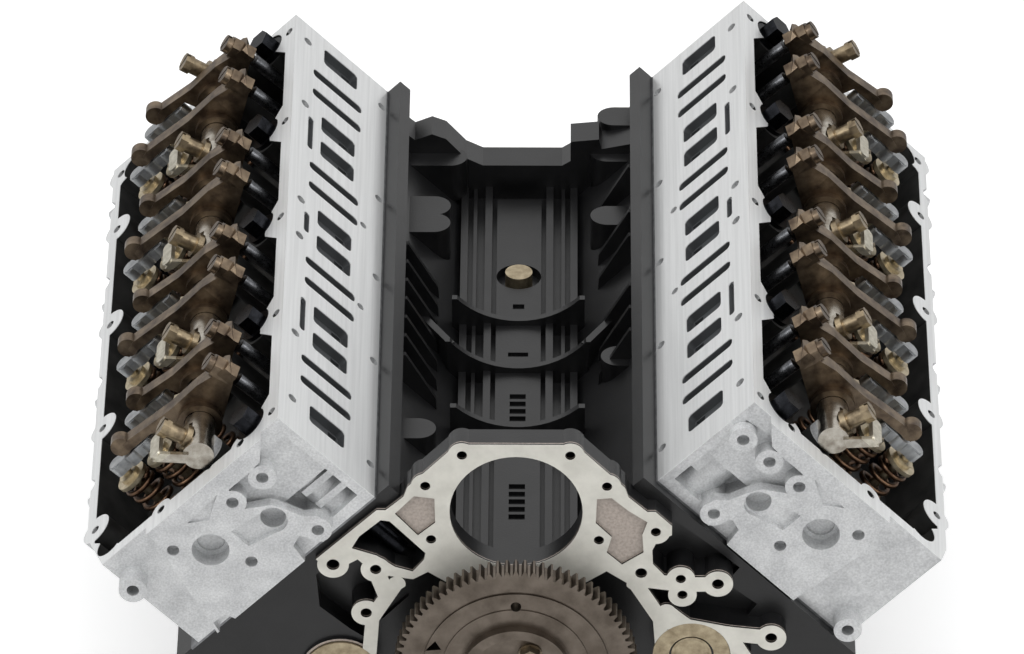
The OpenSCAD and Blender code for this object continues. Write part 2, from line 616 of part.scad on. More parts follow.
module head(side) on_bank(side) difference() {
    union() {
        difference() {
            union() {
                difference() {
                    along_y(head_gap_y, head_gap_y + head_len) head_section();
                    translate([0, 0, gasket_top - 1]) linear_extrude(head_h + 2) {
                        polygon([[side > 0 ? 76 : 64, 0], [83, side > 0 ? 23 : 53], [100, 53], [100, 0]]);
                        for (n = [0 : 3]) translate([head_out + 4, head_gap_y + outer_mids[n]]) circle(8);
                    }
                }
                translate([0, 0, rail_u - 14]) linear_extrude(14) for (y = outer_rail_holes)
                    translate([head_out - 8, head_gap_y + y]) circle(11.5);
                for (i = row) translate([head_out - 10, bore_y(i) + 40, rail_u - 20])
                    rotate([0, 90, 0]) cylinder(r = 8.5, h = 26);
            }
            translate([0, 0, box_floor]) linear_extrude(rocker_box_depth + cut) box_plan();
            end_pocket(side);
        }
        head_end_pad(side);
        for (y = shaft_bolt_rows) rocker_post(y);
        intersection() {
            for (y = bolt_rows) translate([-bolt_in, y, gasket_top])
                cylinder(r = 14.5, h = bolt_seat_in - gasket_top);
            along_y(head_gap_y, head_gap_y + head_len) head_section();
        }
        for (y = bolt_rows) translate([bolt_out, y, gasket_top + 10])
            cylinder(r = 13, h = bolt_seat_out - gasket_top - 10);
        for (i = row, v = valve_x, s = [1, -1])
            translate([v[0] + s * valve_half, bore_y(i) + v[1], box_floor - eps]) cylinder(r = 6.5, h = 9);
    }
    head_end_cuts();
    for (i = row, p = ports) port_cut(i, p);
    for (y = upper_holes) face_hole(y, 77.5, 3.6);
    for (y = lower_holes) face_hole(y, 4.5, 3.6);
    for (y = mid_holes) face_hole(y, 18.5, 3);
    for (w = wall_slots) translate([-head_in - cut, head_gap_y + w[0], gasket_top + 69])
        rotate([90, 0, 90]) linear_extrude(5) rounded([w[1], 5], 2.4);
    for (y = inner_rail_holes) rail_hole(-head_in + 6.5, y);
    for (y = outer_rail_holes) rail_hole(head_out - 8, y);
    for (x = end_rail_holes) rail_hole(x, 7);
    for (y = bolt_rows, x = bolt_columns)
        translate([x, y, gasket_top - cut]) cylinder(r = bolt_shank / 2 + 0.3, h = head_h);
    for (y = bolt_rows) {
        translate([-bolt_in, y, bolt_seat_in]) cylinder(r = 13, h = 20);
        translate([bolt_out, y, bolt_seat_out]) cylinder(r = 12.5, h = 60);
    }
    for (y = shaft_bolt_rows) translate([-shaft_in, y, shaft_u]) rotate([0, screw_lean, 0])
        translate([0, 0, -shaft_d / 2 - 9]) cylinder(r = 4.6, h = 60);
    for (y = shaft_bolt_rows) translate([-shaft_in, 0, shaft_u]) rod_y(shaft_d / 2, y - 20, y + 20);
    for (i = row) {
        for (h = [rocker_half, -rocker_half])
            translate([-pushrod_mid, bore_y(i) + h, gasket_top - cut])
                cylinder(r = pushrod_hole_r, h = box_floor - gasket_top + 2 * cut);
        translate([0, bore_y(i), gasket_top - cut]) cylinder(r = 9, h = head_h);
        for (v = valve_x, s = [1, -1])
            translate([v[0] + s * valve_half, bore_y(i) + v[1], gasket_top - cut]) {
            cylinder(d = stem_d + 0.7, h = head_h);
            cylinder(d = valve_d + 1, h = 7 + cut);
        }
        translate([20, bore_y(i), gasket_top + 30]) rotate([0, 90, 0]) cylinder(r = 15, h = 90);
    }
}
module face_hole(y, u, r) translate([-head_in - cut, head_gap_y + y, gasket_top + u]) rotate([0, 90, 0])
    cylinder(r = r, h = 15);
module rail_hole(x, y) translate([x, head_gap_y + y, rail_u - 16]) cylinder(r = 3.4, h = 18);

module head_left() in_frame() color("#c3c5c6") head(left);
module head_right() in_frame() color("#c3c5c6") head(right);

module head_gasket(side) on_bank(side) translate([0, 0, deck_h]) linear_extrude(gasket_t) difference() {
    translate([-head_in, head_gap_y]) square([head_in + head_out - 10, head_len]);
    for (i = row) translate([0, bore_y(i)]) {
        circle(bore_land + 0.5, $fn = 96);
        for (h = [rocker_half, -rocker_half]) translate([-pushrod_mid, h]) circle(pushrod_hole_r);
    }
    for (y = bolt_rows, x = bolt_columns) translate([x, y]) circle(bolt_shank / 2 + 0.5);
}
module head_gasket_left() in_frame() color("#8d8f90") head_gasket(left);
module head_gasket_right() in_frame() color("#8d8f90") head_gasket(right);

module head_bolts(side) on_bank(side) for (y = bolt_rows) {
    translate([-bolt_in, y, bolt_seat_in]) hex_bolt(16, 12, 24, 3, bolt_shank, bolt_seat_in - deck_h + 50);
    translate([bolt_out, y, bolt_seat_out]) hex_bolt(16, 12, 22, 3, bolt_shank, bolt_seat_out - deck_h + 50);
}
module head_bolts_left() in_frame() color("#202022") head_bolts(left);
module head_bolts_right() in_frame() color("#202022") head_bolts(right);

shaft_y0 = shaft_bolt_rows[0] - 14;
shaft_y1 = shaft_bolt_rows[4] + 11;
screw_lean = 15;                            // pedestal screws lean outboard through the shaft
screw_seat = shaft_d / 2 - 2;
module rocker_shaft(side) on_bank(side) {
    difference() {
        translate([-shaft_in, 0, shaft_u]) rod_y(shaft_d / 2, shaft_y0, shaft_y1);
        for (y = shaft_bolt_rows) translate([-shaft_in, y, shaft_u]) rotate([0, screw_lean, 0]) {
            translate([0, 0, -20]) cylinder(r = 4.6, h = 40);
            translate([-14, -12, screw_seat]) cube([28, 24, 10]);
        }
    }
    // Locating tab beside each pedestal screw but the last
    for (n = [0 : 3]) translate([-shaft_in, shaft_bolt_rows[n], shaft_u]) {
        along_y(-16, -12.5) polygon([[3, 6], [9.5, 3], [24, 19], [16, 20]]);
        translate([20, 0, 18]) linear_extrude(3.5) {
            for (y = [-11.7, 5]) translate([0, y]) circle(4.3);
            translate([-4.3, -11.7]) square([8.6, 16.7]);
        }
    }
}
module rocker_shaft_left() in_frame() color("#b9bcbe") rocker_shaft(left);
module rocker_shaft_right() in_frame() color("#b9bcbe") rocker_shaft(right);

module shaft_bolts(side) on_bank(side) for (y = shaft_bolt_rows)
    translate([-shaft_in, y, shaft_u]) rotate([0, screw_lean, 0]) difference() {
        union() {
            translate([0, 0, -shaft_d / 2 - 8]) cylinder(d = 8.4, h = shaft_d + 12);
            translate([0, 0, screw_seat]) cylinder(d = 18, h = 4);
            translate([0, 0, screw_seat + 3]) cylinder(d = 11.5, h = 14);
            translate([0, 0, screw_seat + 15]) cylinder(d = 14, h = 6, $fn = 8);
        }
        translate([-10, -1, screw_seat + 18.5]) cube([20, 2, 5]);
    }
module shaft_bolts_left() in_frame() color("#8a7a55") shaft_bolts(left);
module shaft_bolts_right() in_frame() color("#8a7a55") shaft_bolts(right);

// Valve gear, in four sets: each bank's front rockers and its rear rockers

function arm_out(rear) = rear ? arm_out_rear : arm_out_front;
function half_of(rear) = rear ? rocker_half : -rocker_half;
hub_r = 15;
hub_w = 20;
arm_w = 12;
adjuster_lean = 12;

// Side view of a rocker arm, with the shaft at the origin
module rocker_side(reach) {
    polygon([
        [-arm_in - 8, 18], [-arm_in, 7], [-10, -hub_r + 4], [10, -hub_r + 5], [14.5, 4], [reach - 23, 15.6],
        [reach + 5, 16], [reach + 6, 19], [reach - 6, 23], [8, 20], [-18, 21]
    ]);
    circle(hub_r);
}
module rocker_top(reach) polygon([
    [-arm_in - 8, -5], [-arm_in - 4, -8], [-18, -arm_w / 2 + 1], [14, -arm_w / 2 + 1], [reach - 4, -5],
    [reach + 7, -4], [reach + 7, 4], [reach - 4, 5], [14, arm_w / 2 - 1], [-18, arm_w / 2 - 1],
    [-arm_in - 4, 8], [-arm_in - 8, 5]
]);
module rocker(reach) difference() {
    union() {
        intersection() {
            along_y(-arm_w, arm_w) rocker_side(reach);
            translate([0, 0, -40]) linear_extrude(100) rocker_top(reach);
        }
        rod_y(hub_r, -hub_w / 2, hub_w / 2);
        translate([-arm_in, 0, 8]) rotate([0, adjuster_lean, 0]) {
            translate([0, 0, -1]) cylinder(r = 8.2, h = 17, $fn = 6);
            translate([0, 0, 15]) cylinder(r = 6.4, h = 5.5);
        }
        translate([-arm_in, 0, 8]) sphere(r = 4);
        translate([reach, 0, bridge_top - shaft_u + tip_gap + tip_r]) rod_y(tip_r, -4.5, 4.5);
    }
    rod_y(shaft_d / 2 + 0.3, -30, 30);
    translate([-arm_in, 0, 8]) rotate([0, adjuster_lean, 0]) translate([-9, -0.9, 18]) cube([18, 1.8, 5]);
}
module rockers(side, rear) on_bank(side) for (i = row)
    translate([-shaft_in, bore_y(i) + half_of(rear), shaft_u]) rocker(arm_out(rear));
module rockers_left_front() in_frame() color("#6f5c48") rockers(left, false);
module rockers_left_rear() in_frame() color("#6f5c48") rockers(left, true);
module rockers_right_front() in_frame() color("#6f5c48") rockers(right, false);
module rockers_right_rear() in_frame() color("#6f5c48") rockers(right, true);

// A roller lifter with its pushrod leaning a little outboard
pushrod_foot = lifter_foot + lifter_l;
ball_r = 4;
rod_top = shaft_u + 8 - ball_r - tip_gap;
lean = atan((lifter_in - pushrod_in) / (rod_top - pushrod_foot));
module pushrod() {
    translate([-lifter_in, 0, lifter_foot]) difference() {
        cylinder(d = lifter_d, h = lifter_l);
        translate([-lifter_d, -4.5, -cut]) cube([2 * lifter_d, 9, 14]);
    }
    translate([-lifter_in, 0, lifter_foot + 7.5]) rod_y(7.5, -4, 4);
    translate([-lifter_in, 0, lifter_foot + 7.5]) rod_y(2.6, -8, 8);
    translate([-lifter_in, 0, pushrod_foot]) rotate([0, lean, 0])
        cylinder(d = pushrod_d, h = (rod_top - pushrod_foot) / cos(lean) - 0.4);
}
module pushrods(side, rear) on_bank(side) for (i = row)
    translate([0, bore_y(i) + half_of(rear), 0]) pushrod();
module pushrods_left_front() in_frame() color("#4c4c4e") pushrods(left, false);
module pushrods_left_rear() in_frame() color("#4c4c4e") pushrods(left, true);
module pushrods_right_front() in_frame() color("#4c4c4e") pushrods(right, false);
module pushrods_right_rear() in_frame() color("#4c4c4e") pushrods(right, true);

// Bridge that pushes two valves at once
bridge_h = 9;
module bridge() difference() {
    union() {
        translate([0, 0, bridge_top - bridge_h]) linear_extrude(bridge_h)
            bar([-valve_half, 0], [valve_half, 0], 10);
        translate([0, 0, bridge_top - bridge_h]) cylinder(r = 7, h = bridge_h);
        for (s = [1, -1]) translate([s * valve_half, 0, bridge_top - bridge_h])
            cylinder(r = 6, h = bridge_h - 1);
    }
    for (s = [1, -1]) translate([s * valve_half, 0, bridge_top - bridge_h - cut]) cylinder(d = stem_d, h = 4);
}
module bridges(side, rear) on_bank(side) for (i = row)
    translate([arm_out(rear) - shaft_in, bore_y(i) + half_of(rear), 0]) bridge();
module bridges_left_front() in_frame() color("#a9abac") bridges(left, false);
module bridges_left_rear() in_frame() color("#a9abac") bridges(left, true);
module bridges_right_front() in_frame() color("#a9abac") bridges(right, false);
module bridges_right_rear() in_frame() color("#a9abac") bridges(right, true);

stem_top = bridge_top - bridge_h + 3;
retainer_u = stem_top - 12;
module valve() {
    translate([0, 0, gasket_top + 1]) {
        cylinder(d = valve_d, h = 2);
        translate([0, 0, 2 - eps]) cylinder(d1 = valve_d, d2 = stem_d, h = 4);
        cylinder(d = stem_d, h = stem_top - gasket_top - 1);
    }
    translate([0, 0, retainer_u]) difference() {
        union() {
            cylinder(d = spring_d, h = 3);
            cylinder(d = 15, h = 6);
        }
        translate([0, 0, -cut]) cylinder(d = stem_d - 1, h = 10);
    }
}
module valves(side, rear) on_bank(side) for (i = row, s = [1, -1])
    translate([arm_out(rear) - shaft_in + s * valve_half, bore_y(i) + half_of(rear), 0]) valve();
module valves_left_front() in_frame() color("#b5a88c") valves(left, false);
module valves_left_rear() in_frame() color("#b5a88c") valves(left, true);
module valves_right_front() in_frame() color("#b5a88c") valves(right, false);
module valves_right_rear() in_frame() color("#b5a88c") valves(right, true);

// Closed body of each coil spring, waved like its coils
coil_wire = 4;
coils = 7;
spring_foot = box_floor + 0.3;
spring_l = retainer_u - spring_foot - 0.3;
module spring() translate([0, 0, spring_foot]) rotate_extrude() {
    translate([spring_d / 2 - 4.2, 0]) square([2.4, spring_l]);
    for (n = [0 : coils - 1])
        translate([spring_d / 2 - 2, coil_wire / 2 + n * (spring_l - coil_wire) / (coils - 1)])
            circle(d = coil_wire, $fn = 24);
}
module springs(side, rear) on_bank(side) for (i = row, s = [1, -1])
    translate([arm_out(rear) - shaft_in + s * valve_half, bore_y(i) + half_of(rear), 0]) spring();
module springs_left_front() in_frame() color("#5d4a3c") springs(left, false);
module springs_left_rear() in_frame() color("#5d4a3c") springs(left, true);
module springs_right_front() in_frame() color("#5d4a3c") springs(right, false);
module springs_right_rear() in_frame() color("#5d4a3c") springs(right, true);

// Crankshaft and timing gears

function pin_x(k) = throw_r * sin(pin_angles[k]);
function pin_z(k) = throw_r * cos(pin_angles[k]);

module web_shape() {
    translate([0, throw_r]) circle(pin_d / 2 + 7);
    circle(main_d / 2 + 8);
    translate([-34, 0]) square([68, throw_r]);
    intersection() {
        circle(counterweight_r, $fn = 96);
        translate([-counterweight_r, -counterweight_r]) square([2 * counterweight_r, counterweight_r - 8]);
    }
}
module crankshaft() in_frame() color("#77797b") difference() {
    union() {
        for (k = [0 : 4]) rod_y(main_d / 2, main_y(k) - main_len / 2 - eps, main_y(k) + main_len / 2 + eps);
        for (k = row) {
            translate([pin_x(k), 0, pin_z(k)]) rod_y(pin_d / 2, pin_y(k) - pin_len / 2 - eps,
                pin_y(k) + pin_len / 2 + eps);
            for (s = [1, -1]) rotate([0, pin_angles[k], 0]) along_y(
                s > 0 ? pin_y(k) + pin_len / 2 : main_y(k) + main_len / 2,
                s > 0 ? main_y(k + 1) - main_len / 2 : pin_y(k) - pin_len / 2) web_shape();
        }
        rod_y(29, gear_y0 + gear_w, main_y0);
        rod_y(nose_d / 2, -nose_reach, main_y0);
        rod_y(gear_seat_r, gear_y0 - 1, main_y0);
        rod_y(rear_flange_d / 2, main_y(4) + main_len / 2 + 12, flange_face_y);
        rod_y(main_d / 2 + 4, main_y(4) + main_len / 2, flange_face_y - 10);
    }
    for (n = [0 : 7]) rotate([0, n * 45, 0]) translate([flywheel_pcd / 2, 0, 0])
        rod_y(flywheel_hole_d / 2, flange_face_y - 22, flange_face_y + cut);
    rod_y(15, flange_face_y - 18, flange_face_y + cut);
    rod_y(7, -nose_reach - cut, -nose_reach + 40);
    translate([-3, -nose_reach - cut, nose_d / 2 - 4]) cube([6, 30, 10]);
}

// Involute gear outline with its first tooth pointing along x
pressure = 20;
function involute(a) = tan(a) - a * PI / 180;
function flank(teeth, r) = let (base = gear_module * teeth / 2 * cos(pressure))
    90 / teeth * 0.94 + 180 / PI * (involute(pressure) - involute(acos(min(1, base / r))));
function gear_radii(teeth) = [for (d = [-1.2, -0.2, 0.95]) gear_module * (teeth / 2 + d)];
function gear_points(teeth) = [for (t = [0 : teeth - 1], s = [-1, 1], n = [0 : 2])
    let (r = gear_radii(teeth)[s < 0 ? n : 2 - n], a = 360 / teeth * t + s * flank(teeth, r))
    [r * cos(a), r * sin(a)]];
module gear_blank(teeth) along_y(gear_y0, gear_y0 + gear_w) polygon(gear_points(teeth));

module crank_gear() in_frame() color("#5e5a55") difference() {
    gear_blank(crank_teeth);
    rod_y(gear_seat_r, gear_y0 - cut, gear_y0 + gear_w + cut);
}

module cam_gear() in_frame() color("#6b6259") translate([0, 0, cam_z]) difference() {
    union() {
        gear_blank(cam_teeth);
        ring_y(37, 30, gear_y0 - 6, gear_y0 + 1);
        rod_y(31, gear_y0 - 2, gear_y0 + 1);
    }
    ring_y(65, 63, gear_y0 - cut, gear_y0 + 1.2);
    ring_y(62.5, 50, gear_y0 - cut, gear_y0 + 0.8);
    translate([0, 0, 52.5]) rod_y(3.6, gear_y0 - cut, gear_y0 + gear_w + cut);
    rod_y(10, gear_y0 - 10, gear_y0 + gear_w + cut);
    for (a = gear_bolt_angles) rotate([0, a, 0]) translate([0, 0, gear_bolt_r])
        rod_y(4.6, gear_y0 - 10, gear_y0 + gear_w + cut);
    along_y(gear_y0 - cut, gear_y0 + gear_w + cut) polygon([[-61, 16], [-50, 17], [-54, 24]]);
}
gear_bolt_r = 19;
gear_bolt_angles = [30, 150, 270];
module cam_gear_bolts() in_frame() color("#857660") translate([0, 0, cam_z]) for (a = gear_bolt_angles)
    rotate([0, a, 0]) translate([0, gear_y0 - 2, gear_bolt_r]) rotate([90, 0, 0])
        hex_bolt(13, 7, 16, 1.5, 8.4, gear_w + 9);

// Camshaft: five journals and sixteen lobes
module lobe() {
    circle(lobe_base_d / 2);
    translate([0, lobe_base_d / 2 + lobe_lift - lobe_nose_r]) circle(lobe_nose_r);
    polygon([[-13.3, 8.8], [13.3, 8.8], [6.7, 18.9], [-6.7, 18.9]]);
}
// Crankshaft degrees at which each cylinder fires, left bank then right bank, from the front
fire_left = [0, 270, 630, 540];
fire_right = [90, 360, 180, 450];
module camshaft() in_frame() color("#7d7f81") translate([0, 0, cam_z]) difference() {
    union() {
        rod_y(11, gear_y0 + gear_w, main_y(4) + 10);
        rod_y(26.4, gear_y0 + gear_w, gear_y0 + gear_w + 8);
        for (k = [0 : 4]) rod_y(cam_journal_r, main_y(k) - 11, main_y(k) + 11);
        for (side = banks, i = row, rear = [0, 1])
            rotate([0, side * bank_angle / 2 + fire(side, i) / 2 + (rear ? 115 : -115), 0])
                along_y(lobe_y(side, i, rear) - lobe_w / 2, lobe_y(side, i, rear) + lobe_w / 2) lobe();
        rod_y(14, main_y0, main_y(4));
    }
    for (a = gear_bolt_angles) rotate([0, a, 0]) translate([0, 0, gear_bolt_r])
        rod_y(4.6, gear_y0, gear_y0 + gear_w + 9);
}
function lobe_y(side, i, rear) = bore_y(i) + (side > 0 ? bank_stagger : 0) + half_of(rear);
function fire(side, i) = side > 0 ? fire_right[i] : fire_left[i];

// Pistons and rods, numbered from the front, odd on the left bank and even on the right

function side_of(n) = n % 2 == 0 ? right : left;
function row_of(n) = floor((n - 1) / 2);
function phase_of(n) = pin_angles[row_of(n)] - side_of(n) * bank_angle / 2;
function pin_u(n) = throw_r * cos(phase_of(n)) + sqrt(pow(rod_l, 2) - pow(throw_r * sin(phase_of(n)), 2));
piston_r = bore_land - piston_gap;
gudgeon_r = 17;
ring_grooves = [7, 14, 21];                 // top of each ring, below the crown
ring_t = 2.5;

module piston(n) on_bank(side_of(n)) translate([0, bore_y(row_of(n)), pin_u(n)]) {
    difference() {
        translate([0, 0, -25]) cylinder(r = piston_r, h = 25 + crown_h, $fn = 96);
        translate([0, 0, -26]) cylinder(r = piston_r - 7, h = 26 + crown_h - 14);
        for (g = ring_grooves) translate([0, 0, crown_h - g - ring_t]) difference() {
            cylinder(r = piston_r + 1, h = ring_t);
            translate([0, 0, -cut]) cylinder(r = piston_r - 4, h = ring_t + 2 * cut);
        }
        rod_y(gudgeon_r, -60, 60);
        translate([0, 0, crown_h - 9]) cylinder(r1 = 20, r2 = 27, h = 10);
    }
    difference() {
        for (s = [1, -1]) translate([0, s * 32, 0]) rod_y(gudgeon_r + 6, -10, 10);
        rod_y(gudgeon_r, -60, 60);
        difference() {
            translate([0, 0, -60]) cylinder(r = 90, h = 120);
            translate([0, 0, -61]) cylinder(r = piston_r - 3, h = 122);
        }
    }
    ring_y(gudgeon_r, 9, -40, 40);
    for (g = ring_grooves) translate([0, 0, crown_h - g - ring_t]) difference() {
        cylinder(r = bore_land - 0.3, h = ring_t, $fn = 96);
        translate([0, 0, -cut]) cylinder(r = piston_r - 4, h = ring_t + 2 * cut);
    }
}
module piston_1() in_frame() color("#b0b2b3") piston(1);
module piston_2() in_frame() color("#b0b2b3") piston(2);
module piston_3() in_frame() color("#b0b2b3") piston(3);
module piston_4() in_frame() color("#b0b2b3") piston(4);
module piston_5() in_frame() color("#b0b2b3") piston(5);
module piston_6() in_frame() color("#b0b2b3") piston(6);
module piston_7() in_frame() color("#b0b2b3") piston(7);
module piston_8() in_frame() color("#b0b2b3") piston(8);

rod_bolt_x = 40;
rod_bore_r = pin_d / 2 + pin_gap + rod_shell;
rod_big_w = 45;
small_end_r = gudgeon_r + 7;
// Rod in its own frame: big end at the origin, small end above it
module rod_solids() {
    difference() {
        union() {
            intersection() {
                union() {
                    rod_y(rod_bore_r + 7, -rod_half, rod_half);
                    translate([-rod_big_w, -rod_half, 0]) cube([2 * rod_big_w, 2 * rod_half, 15]);
                }
                translate([-60, -20, 0]) cube([120, 40, 60]);
            }
            along_y(-rod_half + 1, rod_half - 1)
                polygon([[-20, 30], [20, 30], [13, rod_l - 18], [-13, rod_l - 18]]);
            translate([0, 0, rod_l]) rod_y(small_end_r, -rod_half, rod_half);
        }
        rod_y(rod_bore_r, -20, 20);
        translate([0, 0, rod_l]) rod_y(gudgeon_r + 0.3, -20, 20);
        for (s = [1, -1]) translate([0, s * (rod_half + 1), 0]) along_y(-4, 4)
            polygon([[-11, 54], [11, 54], [7, rod_l - 30], [-7, rod_l - 30]]);
        for (x = [-rod_bolt_x, rod_bolt_x]) translate([x, 0, -cut]) cylinder(r = 4.3, h = 14);
    }
    difference() {
        intersection() {
            union() {
                rod_y(rod_bore_r + 7, -rod_half, rod_half);
                translate([-rod_big_w, -rod_half, -14]) cube([2 * rod_big_w, 2 * rod_half, 14]);
            }
            translate([-60, -20, -60]) cube([120, 40, 60]);
        }
        rod_y(rod_bore_r, -20, 20);
        for (x = [-rod_bolt_x, rod_bolt_x]) translate([x, 0, -15]) cylinder(r = 4.3, h = 16);
    }
    for (x = [-rod_bolt_x, rod_bolt_x]) translate([x, 0, -14]) rotate([180, 0, 0])
        hex_bolt(9, 6, 10, 1, 7.6, 26);
    difference() {
        rod_y(rod_bore_r, -rod_half + 0.5, rod_half - 0.5);
        rod_y(pin_d / 2 + pin_gap, -20, 20);
    }
}
module rod(n) {
    k = row_of(n);
    s = side_of(n);
    px = pin_u(n) * sin(s * bank_angle / 2);
    pz = pin_u(n) * cos(bank_angle / 2);
    translate([pin_x(k), pin_y(k) + s * rod_offset, pin_z(k)])
        rotate([0, atan2(px - pin_x(k), pz - pin_z(k)), 0]) rod_solids();
}
module rod_1() in_frame() color("#6a6c6e") rod(1);
module rod_2() in_frame() color("#6a6c6e") rod(2);
module rod_3() in_frame() color("#6a6c6e") rod(3);
module rod_4() in_frame() color("#6a6c6e") rod(4);
module rod_5() in_frame() color("#6a6c6e") rod(5);
module rod_6() in_frame() color("#6a6c6e") rod(6);
module rod_7() in_frame() color("#6a6c6e") rod(7);
module rod_8() in_frame() color("#6a6c6e") rod(8);

cylinder_block();
head_left();
head_right();
head_gasket_left();
head_gasket_right();
head_bolts_left();
head_bolts_right();
rocker_shaft_left();
rocker_shaft_right();
shaft_bolts_left();
shaft_bolts_right();
main_caps();
main_cap_bolts();
core_plugs();
main_bearings();
cam_bearings();
rear_seal();
crankshaft();
crank_gear();
camshaft();
cam_gear();
cam_gear_bolts();
piston_1();
piston_2();
piston_3();
piston_4();
piston_5();
piston_6();
piston_7();
piston_8();
rod_1();
rod_2();
rod_3();
rod_4();
rod_5();
rod_6();
rod_7();
rod_8();
rockers_left_front();
rockers_left_rear();
rockers_right_front();
rockers_right_rear();
pushrods_left_front();
pushrods_left_rear();
pushrods_right_front();
pushrods_right_rear();
bridges_left_front();
bridges_left_rear();
bridges_right_front();
bridges_right_rear();
valves_left_front();
valves_left_rear();
valves_right_front();
valves_right_rear();
springs_left_front();
springs_left_rear();
springs_right_front();
springs_right_rear();
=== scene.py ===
# %% [markdown]
# # A V8 diesel long block, dressed in Blender
# The part was made as exact solids: a black block with a bare machined front, two aluminium heads and
# the rocker gear. Here those solids stay where they are and get their real finishes, and the valve
# springs, which the solids only hint at, are wound as true coils. Everything is in metres, in the
# frame of the solids: X to the right seen from the front, Y to the rear and Z up.

import json
import math

import bmesh
import bpy
from mathutils import Matrix, Vector


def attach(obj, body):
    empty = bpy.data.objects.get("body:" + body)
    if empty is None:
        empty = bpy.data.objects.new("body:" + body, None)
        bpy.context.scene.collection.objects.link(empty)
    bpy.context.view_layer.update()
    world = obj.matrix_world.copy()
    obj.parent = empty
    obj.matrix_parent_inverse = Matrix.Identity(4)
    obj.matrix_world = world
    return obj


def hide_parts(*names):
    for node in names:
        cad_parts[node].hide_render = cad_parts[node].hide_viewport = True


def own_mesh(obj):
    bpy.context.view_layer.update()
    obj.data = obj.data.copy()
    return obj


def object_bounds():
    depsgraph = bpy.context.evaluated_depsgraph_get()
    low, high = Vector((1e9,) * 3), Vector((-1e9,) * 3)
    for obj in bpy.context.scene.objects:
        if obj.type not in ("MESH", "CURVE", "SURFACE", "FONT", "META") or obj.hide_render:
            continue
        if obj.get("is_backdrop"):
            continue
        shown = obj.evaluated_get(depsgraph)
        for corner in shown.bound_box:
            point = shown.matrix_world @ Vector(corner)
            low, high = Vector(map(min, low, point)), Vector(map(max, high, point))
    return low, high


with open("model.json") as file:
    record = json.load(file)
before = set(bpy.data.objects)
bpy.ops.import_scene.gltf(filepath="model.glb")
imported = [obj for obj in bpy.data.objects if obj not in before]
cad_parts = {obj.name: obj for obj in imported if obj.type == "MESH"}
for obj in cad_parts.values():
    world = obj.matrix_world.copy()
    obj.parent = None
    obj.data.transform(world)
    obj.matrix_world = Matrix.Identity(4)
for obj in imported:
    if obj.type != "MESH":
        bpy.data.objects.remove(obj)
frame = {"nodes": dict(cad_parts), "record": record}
cad_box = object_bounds()
nodes = frame["nodes"]
print("nodes loaded:", len(nodes))

# %% [markdown]
# ## The camera
# The photograph was taken from the front and almost 35 degrees above, from far away with a long lens,
# so the two heads hardly narrow towards the rear. The camera is placed on that line through the pump
# drive's hole, because the hole is the clearest thing to measure. It is then tilted and turned by the
# angle between the picture's middle and that hole, so that the hole lands low in the picture.

# %% Camera
PHOTO_SIZE = (1024, 654)                    # pixels
HOLE_CENTRE = Vector((0, -0.572, 0.231))    # metres
HOLE_PIXEL = (517.0, 512.0)
CAMERA_HEIGHT = math.radians(34.7)
CAMERA_TURN = math.radians(0.3)             # a little to the right of straight on
CAMERA_DISTANCE = 6.5                       # metres from the hole
PIXELS_PER_METRE = 1500.0                   # at the hole
SENSOR = 36.0                               # mm
FAR = 100                                   # metres, where the camera stops seeing


def make_camera():
    focal_px = PIXELS_PER_METRE * CAMERA_DISTANCE
    data = bpy.data.cameras.new("photo_camera")
    data.sensor_width = SENSOR
    data.lens = focal_px * SENSOR / PHOTO_SIZE[0]
    data.clip_end = FAR
    camera = bpy.data.objects.new("photo_camera", data)
    bpy.context.scene.collection.objects.link(camera)
    level = math.cos(CAMERA_HEIGHT)
    camera.location = HOLE_CENTRE + CAMERA_DISTANCE * Vector(
        (level * math.sin(CAMERA_TURN), -level * math.cos(CAMERA_TURN), math.sin(CAMERA_HEIGHT)))
    pitch = math.atan((HOLE_PIXEL[1] - PHOTO_SIZE[1] / 2) / focal_px)
    yaw = math.atan((HOLE_PIXEL[0] - PHOTO_SIZE[0] / 2) / focal_px)
    camera.rotation_euler = (math.radians(90) - CAMERA_HEIGHT + pitch, 0, yaw + CAMERA_TURN)
    bpy.context.scene.camera = camera
    return camera


camera = make_camera()
print("lens", round(camera.data.lens), "mm")

# %% [markdown]
# ## Colours and nodes
# Colours are written as the hex values that a picture program shows. Blender works in linear light,
# so one function converts them. A second small function adds a node, sets it up and links it, which
# keeps every material below short enough to read.

# %% Helpers for colours and nodes
def linear(code):
    """The linear colour of a hex value such as "#bdbebf", by the sRGB curve."""
    channels = [int(code[i:i + 2], 16) / 255 for i in (1, 3, 5)]
    curve = [c / 12.92 if c <= 0.04045 else ((c + 0.055) / 1.055) ** 2.4 for c in channels]
    return (*curve, 1)


def add(tree, kind, inputs=None, **settings):
    """Adds a node. An input is given a value, or is linked if it is another node's socket."""
    node = tree.nodes.new("ShaderNode" + kind)
    for name, value in settings.items():
        setattr(node, name, value)
    for key, value in (inputs or {}).items():
        if isinstance(value, bpy.types.NodeSocket):
            tree.links.new(value, node.inputs[key])
        else:
            node.inputs[key].default_value = value
    return node


def new_material(name):
    material = bpy.data.materials.new(name)
    material.use_nodes = True
    tree = material.node_tree
    tree.nodes.clear()
    output = add(tree, "OutputMaterial")
    place = add(tree, "TexCoord").outputs["Object"]
    return material, tree, output, place


MM_IN_METRE = 1000                          # coordinates are in metres, patches are given in mm
CLOUD_LOW, CLOUD_HIGH = 0.32, 0.68          # nearly all of a noise lies between these


